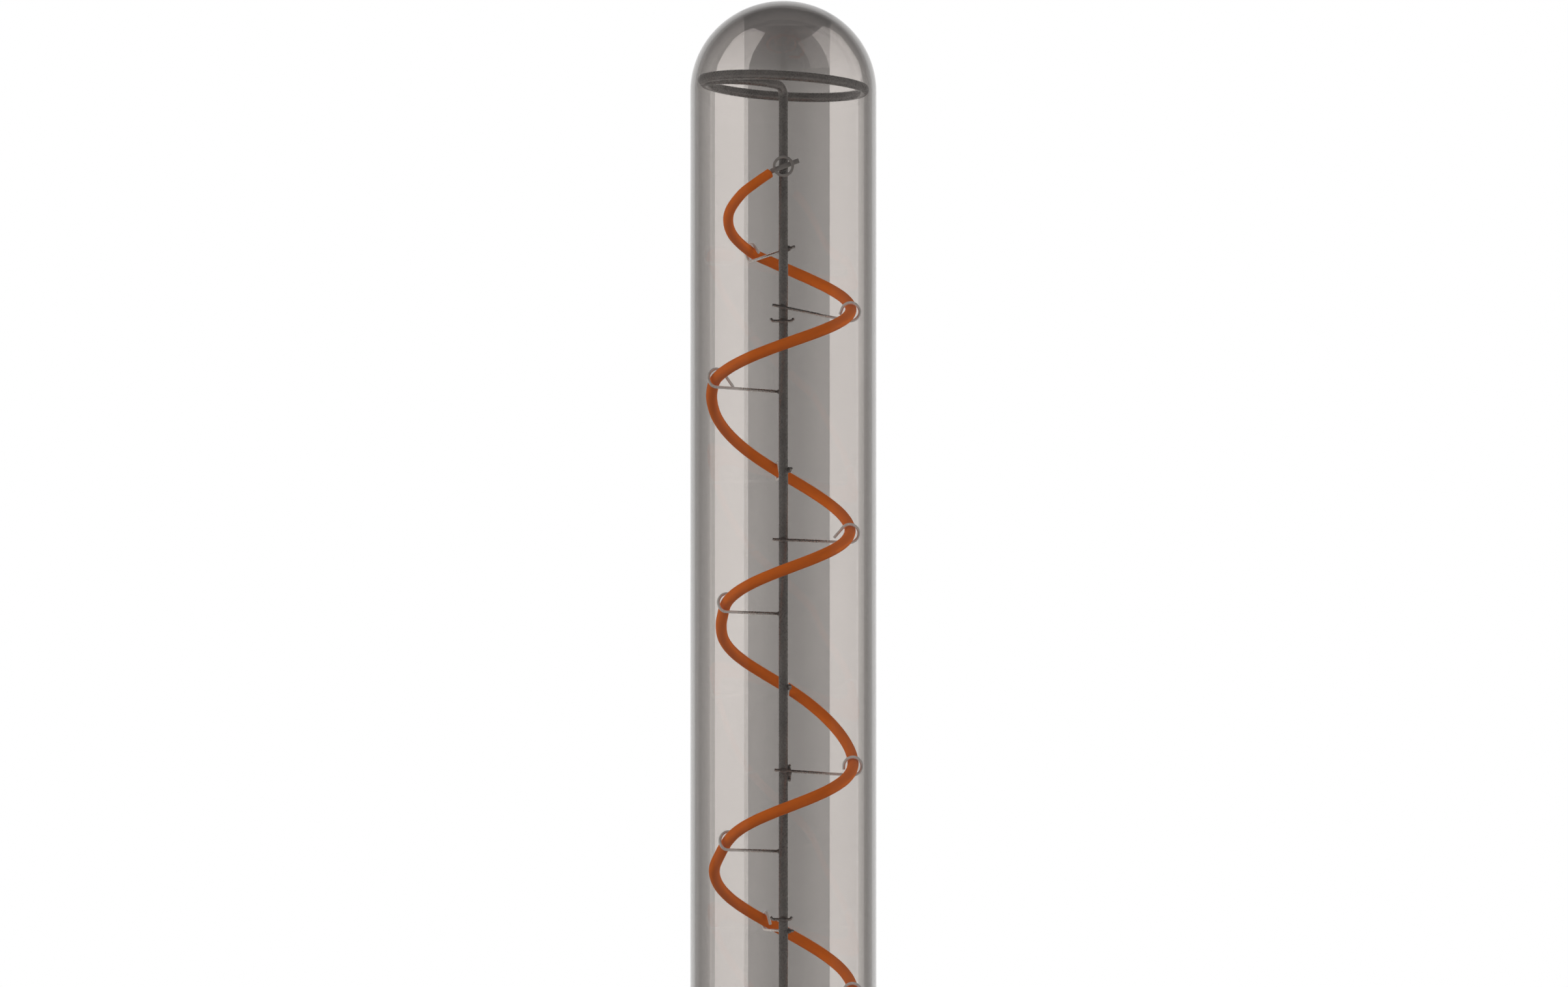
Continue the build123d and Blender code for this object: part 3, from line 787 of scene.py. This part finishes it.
# Glass stem: flare, tube and pinched press as one skin, with the tube's bore closed below the press
def blend_share(share):
    """Smooth step from 0 to 1."""
    share = min(max(share, 0.0), 1.0)
    return share * share * (3 - 2 * share)


def section(half_x, half_y, power, level, sides=72):
    """A ring between an ellipse and a rounded rectangle; power 2 is the ellipse."""
    points = []
    for index in range(sides):
        turn = 2 * pi * index / sides
        x = abs(cos(turn)) ** (2 / power) * (1 if cos(turn) >= 0 else -1)
        y = abs(sin(turn)) ** (2 / power) * (1 if sin(turn) >= 0 else -1)
        points.append(Vector((half_x * x, half_y * y, level)))
    return points


def stem_sections():
    """Rings up the outside of the stem, over its press, and down the bore."""
    flare_radius = neck_radius - glass_wall
    rings = []
    for index in range(9):
        share = index / 8
        radius = stem_radius + (flare_radius - stem_radius) * (1 - share) ** flare_power
        level = neck_bottom + stem_wall + (stem_flare_height - stem_wall) * share
        rings.append(section(radius, radius, 2, level))
    tube_bottom = neck_bottom + stem_flare_height
    rings += [section(stem_radius, stem_radius, 2, tube_bottom + stem_span * index) for index in range(1, 5)]
    for index in range(9):
        share = blend_share(index / 8)
        half_x = stem_radius + (press_width / 2 - stem_radius) * share
        half_y = stem_radius + (press_thickness / 2 - stem_radius) * share
        level = pinch_start + (pinch_end - pinch_start) * index / 8
        rings.append(section(half_x, half_y, 2 + 2.5 * share, level))
    for below, shrink in ((4.0, 0.0), (1.0, 0.0), (0.5, 0.15), (0.15, 0.45), (0.0, 0.9)):
        rings.append(section(press_width / 2 - shrink, press_thickness / 2 - shrink, 4.5, press_top - below))
    rings.append([Vector((0, 0, press_top))])
    return rings


def bore_sections():
    """Rings down the bore, from its rounded top to the flare's foot."""
    bore = stem_radius - stem_wall
    foot_radius = neck_radius - glass_wall
    rings = [[Vector((0, 0, press_bottom))]]
    for turn in (20, 40, 60, 80, 90):
        radius = bore * sin(radians(turn))
        rings.append(section(radius, radius, 2, press_bottom - bore_crown * (1 - cos(radians(turn)))))
    rings += [section(bore, bore, 2, level) for level in (35.0, 28.0, 22.0)]
    for index in range(9):
        share = index / 8
        radius = bore + (foot_radius - stem_wall - bore) * share**flare_power
        rings.append(section(radius, radius, 2, neck_bottom + stem_flare_height * (1 - share)))
    rings.append(section(foot_radius, foot_radius, 2, neck_bottom))
    return rings


verts, rings = [], []
for outline_ring in stem_sections() + bore_sections():
    add_ring(verts, rings, outline_ring)
outside = len(stem_sections())
faces = bridge(rings[:outside]) + bridge(rings[outside:]) + bridge([rings[-1], rings[0]])
piece("stem_glass", verts, faces, "clear_glass", ["glass_stem"])

pump_bore = pump_radius - pump_wall
tip_turns = [radians(90 * index / 8) for index in range(9)]
pump_outside = [(pump_radius * sin(turn), pump_bottom + pump_radius * (1 - cos(turn))) for turn in tip_turns]
pump_floor = pump_bottom + pump_wall
pump_inside = [(pump_bore * sin(turn), pump_floor + pump_bore * (1 - cos(turn))) for turn in tip_turns]
pump_outline = [*pump_outside, (pump_radius, press_bottom), (pump_bore, press_bottom), *pump_inside[::-1]]
piece("pump_tube", *lathe(pump_outline, 48), "clear_glass", ["exhaust_tube"])


# Screw cap
def thread_radius(level, azimuth):
    """Outer radius of the rolled shell at a level and azimuth, in degrees, with a right-hand thread."""
    middle = thread_crest - thread_depth / 2
    into = blend_share((level - thread_start + thread_fade) / thread_fade)
    out = blend_share((thread_end + thread_fade - level) / thread_fade)
    wave = cos(2 * pi * level / thread_pitch - radians(azimuth)) * thread_depth / 2
    collar = thread_crest - middle - rim_step
    lip = rim_step * blend_share((level - shell_top + 0.8) / 0.6)
    foot = foot_draw * blend_share((shell_bottom + foot_height - level) / foot_height)
    return middle + wave * into * out + collar * (1 - out) - root_draw * (1 - into) - foot + lip


def shell_mesh(columns=144, rows=100):
    """The rolled sheet: its outer and inner skins and the two edges between them."""
    levels = [shell_bottom + (shell_top - shell_bottom) * row / rows for row in range(rows + 1)]
    turns = [360 * column / columns for column in range(columns)]
    verts, rings = [], []
    for inset, way in ((0.0, levels), (shell_wall, levels[::-1])):
        for level in way:
            radii = [thread_radius(level, turn) - inset for turn in turns]
            add_ring(verts, rings, [polar(radius, turn, level) for radius, turn in zip(radii, turns)])
    return verts, bridge(rings, closed=True)


solder_spot = ellipsoid(
    polar(thread_crest - 0.1, -60, shell_top - 0.9),
    (polar(0.45, -60), polar(1.5, 30), UP * 0.8),
)
sheet = shell_mesh()
shell = join(sheet, solder_spot)
piece("threaded_shell", *shell, "cap_metal", ["cap_shell"], "contact_metal", len(sheet[1]))

# Resistor: a body with swollen ends; one lead ends in the rolled sheet, the other on the board
resistor_y = board_front - resistor_radius
sheet_x = -(thread_radius(resistor_level, 180) - shell_wall / 2)
lead_start = Vector((sheet_x, resistor_y, resistor_level))
lead_turn = Vector((resistor_bend_x, resistor_y, resistor_level))
resistor_lead_path = [
    *straight(lead_start, lead_turn, 0.5),
    lead_turn + Vector((0.15, 0.1, 0)),
    lead_turn + Vector((0.2, 0.4, 0)),
    lead_turn + Vector((0.2, resistor_radius, 0)),
]
body_shares = [index / 22 for index in range(23)]
body_start = Vector((resistor_body_x, resistor_y, resistor_level))
body_line = [body_start + Vector((resistor_length * share, 0, 0)) for share in body_shares]
body_widths = [0.86 + 0.14 * blend_share(abs(share - 0.5) * 6 - 1.6) for share in body_shares]
body = tube(body_line, resistor_radius, 28, 0.3, body_widths)
resistor = join(body, tube(resistor_lead_path, component_lead_radius, 10))
piece("coated_resistor", *resistor, "resistor_body", ["fusible_resistor"], "lead_metal", len(body[1]))

insulator_outline = [
    (rivet_radius, contact_height + 0.1),
    (rivet_radius + 0.1, contact_height),
    (5.3, contact_height),
    (5.6, contact_height + 0.2),
    (5.75, contact_height + 0.7),
    (6.5, 2.35),
    (7.2, 3.0),
    (7.5, 3.1),
    (7.8, 3.4),
    (8.3, 4.5),
    (8.7, 4.9),
    (9.2, 5.05),
    (11.3, 5.1),
    (11.7, 5.35),
    (11.75, 6.6),
    (11.5, insulator_top),
    (rivet_radius, insulator_top),
]
piece("vitreous_insulator", *lathe(insulator_outline, 96, closed=True), "black_insulator", ["cap_insulator"])

contact_outline = [
    (0.0, 0.0),
    (1.6, 0.03),
    (2.8, 0.1),
    (3.6, 0.22),
    (4.3, 0.45),
    (4.75, 0.75),
    (contact_radius, 1.0),
    (contact_radius - 0.1, 1.15),
    (contact_radius - 0.4, contact_height),
    (rivet_radius, contact_height),
    (rivet_radius, rivet_top - 0.3),
    (rivet_radius - 0.35, rivet_top),
    (0.0, rivet_top),
]
piece("tinned_contact", *lathe(contact_outline, 72), "contact_metal", ["centre_contact"])

cement_bore = neck_radius + 0.02
cement_outer = thread_crest - shell_wall - 0.1
cement_outline = [
    (cement_bore, cement_bottom),
    (cement_bore, cement_top - 0.1),
    (cement_bore + 0.4, cement_top - 0.35),
    (cement_bore + 0.9, cement_top - 0.4),
    (cement_outer - 0.4, cement_top - 0.3),
    (cement_outer, cement_top),
    (cement_outer, cement_top - 1.6),
    (cement_outer - 1.0, cement_top - 2.6),
    (cement_outer - 1.0, cement_bottom),
]
piece("cement_ring", *lathe(cement_outline, 96, closed=True), "cement", ["basing_cement"])

# CAD nodes that stay as they are, in their finishes
carried_over = {
    "driver_board": "board",
    "bridge_rectifier": "chip_black",
    "driver_chip": "chip_black",
    "smoothing_capacitor": "capacitor_sleeve",
    "contact_wire": "lead_metal",
}
for node, slot in carried_over.items():
    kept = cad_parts[node]
    kept.data.materials.clear()
    kept.data.materials.append(finishes[slot])


# Studio: white world, pale floor, tall soft lights and cards that only the glass shows: glowing cards as
# painted reflections and painted shade, a grey filter as painted shade
def stage_mesh(name, verts, faces, material):
    mesh = bpy.data.meshes.new(name)
    mesh.from_pydata(verts, [], faces)
    mesh.materials.append(material)
    made = bpy.data.objects.new(name, mesh)
    bpy.context.scene.collection.objects.link(made)
    return made


def stage_material(name):
    """A material of the stage with its tree."""
    made = bpy.data.materials.new(name)
    made.use_nodes = True
    return made, Tree(made.node_tree)


def white_world(lit_strength, dim_strength):
    """White where it is seen, straight, mirrored or through glass; mirrored rays see its front dim."""
    world = bpy.data.worlds.new("studio")
    bpy.context.scene.world = world
    world.use_nodes = True
    made = Tree(world.node_tree)
    path = made.node("ShaderNodeLightPath").outputs
    strength = made.node("ShaderNodeMix")
    behind = made.spread(made.axes("Generated")["Y"], dim_strength, start=0.6, end=0.97)
    for index, value in ((0, path["Glossy Depth"]), (2, 1.0), (3, behind)):
        made.feed(strength.inputs[index], value)
    lit = made.tree.nodes["Background"]
    shown = made.node("ShaderNodeBackground", Strength=strength.outputs[0])
    made.feed(lit.inputs["Strength"], lit_strength)
    for background in (lit, shown):
        made.feed(background.inputs["Color"], (1.0, 1.0, 1.0))
    unscattered = made.math("LESS_THAN", path["Diffuse Depth"], 0.5)
    made.show(made.math("MULTIPLY", made.seen(), unscattered), lit, shown, "World Output")


def floor_material():
    """White floor that keeps the object's shadow and fades into the white world at its rim."""
    material, made = stage_material("floor_white")
    matt = made.tree.nodes["Principled BSDF"]
    made.feed(matt.inputs["Base Color"], (0.86, 0.86, 0.86))
    made.feed(matt.inputs["Roughness"], 0.9)
    glow = made.node("ShaderNodeEmission")
    out = made.length(made.node("ShaderNodeTexCoord").outputs["Object"])
    fade = made.spread(out, 0.45, start=0.12, end=0.8)
    made.show(made.math("MULTIPLY", made.seen(), fade), matt, glow)
    return material


def soft_light(name, azimuth, distance, height, size, radiance, shown=True):
    """A tall soft box at an azimuth from the photograph's viewpoint, left negative, facing the bulb.

    One that is not shown lights the bulb without a reflection in it.
    """
    lamp = bpy.data.lights.new(name, "AREA")
    lamp.shape = "RECTANGLE"
    lamp.size, lamp.size_y = size
    lamp.energy = radiance * pi * size[0] * size[1]
    made = bpy.data.objects.new(name, lamp)
    bpy.context.scene.collection.objects.link(made)
    turn = radians(azimuth)
    made.location = (distance * sin(turn), -distance * cos(turn), height)
    made.rotation_euler = (pi / 2, 0, turn)
    made.visible_camera = False
    made.visible_glossy = shown
    made.visible_transmission = shown


def card(name, depth, corners, material):
    """A card behind the bulb that only rays through glass see. corners are (x, z)."""
    verts = [Vector((x, depth, z)) * MM for x, z in corners]
    made = stage_mesh(name, verts, [tuple(range(len(verts)))], material)
    made.visible_camera = False
    made.visible_diffuse = False
    made.visible_glossy = False
    made.visible_shadow = False


def glass_card(name, depth, corners, levels):
    """A glowing card, painted light seen only through the glass: bright ones are painted reflections, dim
    ones painted shade. levels are (height, brightness), low to high.
    """
    material, made = stage_material(name)
    bottom, top = levels[0][0], levels[-1][0]
    brightest = max(level[1] for level in levels)
    share = made.spread(made.axes()["Z"], start=bottom * MM, end=top * MM)
    ramp = made.node("ShaderNodeValToRGB", Fac=share)
    for index, (height, brightness) in enumerate(levels):
        stop = ramp.color_ramp.elements[index] if index < 2 else ramp.color_ramp.elements.new(1.0)
        stop.position = (height - bottom) / (top - bottom)
        stop.color = (*[brightness / brightest] * 3, 1.0)
    glow = made.node("ShaderNodeEmission", Color=ramp.outputs["Color"], Strength=brightest)
    made.feed(made.tree.nodes["Material Output"].inputs["Surface"], glow.outputs[0])
    card(name, depth, corners, material)


def shade_card(depth, left, right, centre, reach, darkest):
    """A soft grey filter, darkest along an upright line: painted shade seen through the glass."""
    material, made = stage_material("shade_card")
    distance = made.math("ABSOLUTE", made.math("SUBTRACT", made.axes()["X"], centre * MM))
    fade = made.spread(distance, darkest, start=0.0, end=reach * MM)
    fade.node.interpolation_type = "SMOOTHSTEP"
    film = made.node("ShaderNodeBsdfTransparent", Color=fade)
    made.feed(made.tree.nodes["Material Output"].inputs["Surface"], film.outputs[0])
    corners = [(left, card_foot), (right, card_foot), (right, 300.0), (left, 300.0)]
    card("shade_card", depth, corners, material)


white_world(lit_strength=0.7, dim_strength=0.14)
floor_sides = 96
floor_radius = 0.9
floor_verts = [polar(floor_radius, 360 * index / floor_sides) for index in range(floor_sides)]
stage_mesh("floor", floor_verts, [tuple(range(floor_sides))], floor_material())

# Lamps: azimuth, distance and height in metres, width and height of the box, radiance
soft_light("left_softbox", -69.0, 0.8, 1.0, (0.75, 2.0), 0.12)
soft_light("right_softbox", 88.0, 0.8, 1.0, (0.85, 2.0), 0.12)
soft_light("left_fill", -78.0, 0.9, 0.35, (0.8, 1.1), 4.4, shown=False)
soft_light("right_fill", 78.0, 0.9, 0.35, (0.8, 1.1), 4.0, shown=False)
soft_light("front_fill", 15.0, 1.3, 0.4, (0.7, 0.7), 0.5, shown=False)

# Cards behind the bulb, (x, z) in millimetres; a nearer one covers those behind it. The bright cards paint
# reflection bands, the dim column and the shade card paint shade.
card_foot = 30.0
card_depth = 24.0
lip_depth = 24.2
faint_depth = 24.3
dim_depth = 24.6
shade_depth = 23.6
left_column = [(-8.6, card_foot), (-8.6, 286.0), (-8.7, 293.7), (-9.1, 299.1)]
right_column = [(10.2, card_foot), (10.2, 286.0), (10.4, 293.8), (11.3, 300.4)]
left_curve = [(-15.6, 286.0), (-15.5, 289.1), (-15.2, 291.0), (-13.6, 294.2), (-11.6, 297.2)]
left_inner = [(-7.0, 299.7), (-4.1, 298.1), (-5.5, 295.7), (-6.8, 293.2), (-7.5, 290.6), (-7.7, 286.0)]
right_curve = [(13.9, 299.0), (16.5, 295.4), (18.7, 292.1), (19.3, 288.8), (17.5, 285.0)]
right_inner = [(10.2, 290.1), (9.6, 292.6), (8.3, 295.4), (6.5, 297.7), (9.6, 300.8)]
column_top = [(17.0, 312.6), (11.1, 308.3), (5.7, 307.3), (-1.5, 309.3), (-13.0, 310.0), (-10.2, 304.0)]
glass_card(
    "left_bright",
    card_depth,
    [(-15.6, card_foot), *left_curve, *left_column[::-1]],
    [(card_foot, 1.95), (284.0, 1.95), (291.0, 1.8), (300.0, 1.85)],
)
glass_card(
    "left_bright_edge",
    card_depth,
    [*left_column, *left_inner, (-7.7, card_foot)],
    [(card_foot, 1.6), (280.0, 1.55), (290.0, 1.3), (300.0, 1.2)],
)
glass_card(
    "left_bright_lip",
    lip_depth,
    [(-17.1, card_foot), (-17.0, 286.0), (-15.6, 289.0), (-15.6, card_foot)],
    [(card_foot, 1.4), (300.0, 1.3)],
)
glass_card(
    "right_bright",
    card_depth,
    [*right_column, *right_curve, (17.5, card_foot)],
    [(card_foot, 1.85), (284.0, 1.85), (291.0, 1.8), (300.0, 1.85)],
)
glass_card(
    "right_bright_edge",
    card_depth,
    [*right_inner, right_column[-1], right_column[-2]],
    [(280.0, 1.25), (300.0, 1.2)],
)
glass_card(
    "right_bright_lip",
    lip_depth,
    [(17.5, card_foot), (17.5, 286.0), (19.3, 289.0), (19.8, 286.0), (19.8, card_foot)],
    [(card_foot, 1.45), (300.0, 1.35)],
)
glass_card(
    "right_faint",
    faint_depth,
    [(3.2, 295.8), *right_inner[3::-1], (6.1, 289.9), (5.3, 292.4)],
    [(285.0, 0.75), (300.0, 0.72)],
)
glass_card(
    "dim_column",
    dim_depth,
    [(-8.6, 225.0), (10.2, 225.0), *right_column[1:], *column_top, *left_column[:0:-1]],
    [(225.0, 1.0), (278.0, 0.9), (285.0, 0.85), (291.0, 0.56), (303.0, 0.52)],
)
shade_card(shade_depth, left=-8.6, right=10.2, centre=1.2, reach=8.5, darkest=0.78)

# Camera at the photograph's place, level, with the frame raised to its crop
frame_width = 320.0
frame_middle = 199.7
view_distance = 1030.0
view_height = 150.0
view_side = 0.13
sensor = 36.0
camera = bpy.data.objects.new("camera", bpy.data.cameras.new("camera"))
bpy.context.scene.collection.objects.link(camera)
camera.data.sensor_width = sensor
camera.data.lens = sensor * view_distance / frame_width
camera.data.shift_y = (frame_middle - view_height) / frame_width
camera.data.clip_start = 0.01
camera.location = Vector((view_side, -view_distance, view_height)) * MM
camera.rotation_euler = (pi / 2, 0, 0)
bpy.context.scene.camera = camera
bpy.context.scene.view_settings.view_transform = "Standard"
